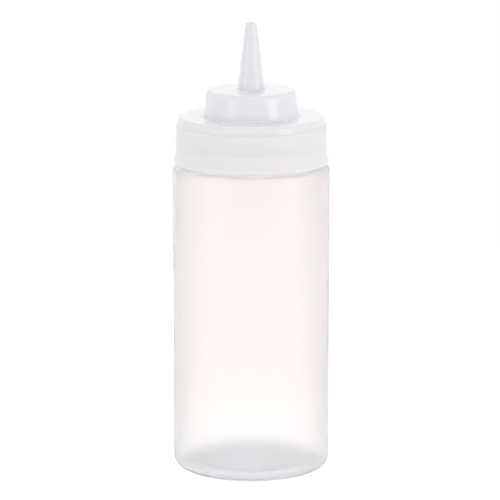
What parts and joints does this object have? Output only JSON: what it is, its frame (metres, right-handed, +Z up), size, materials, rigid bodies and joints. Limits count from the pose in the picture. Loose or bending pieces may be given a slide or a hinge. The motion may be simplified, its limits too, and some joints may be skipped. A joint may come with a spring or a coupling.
{
  "type": "squeeze bottle",
  "caption": "Empty round squeeze bottle in milky soft plastic, with a stepped screw cap that rises to a slim tapered nozzle.",
  "frame": {"origin": "centre of the base, on the plane that the bottle stands on", "axes": "+Z up along the axis of the bottle, from the base to the nozzle; +X to the right and +Y away, as seen from the front"},
  "size_m": [0.071, 0.071, 0.2032],
  "materials": {
    "bottle_plastic": "milky translucent, satin",
    "cap_plastic": "milky, half opaque, glossy"
  },
  "bodies": {
    "root": {"bottle": "bottle_plastic", "cap": "cap_plastic"}
  },
  "joints": []
}
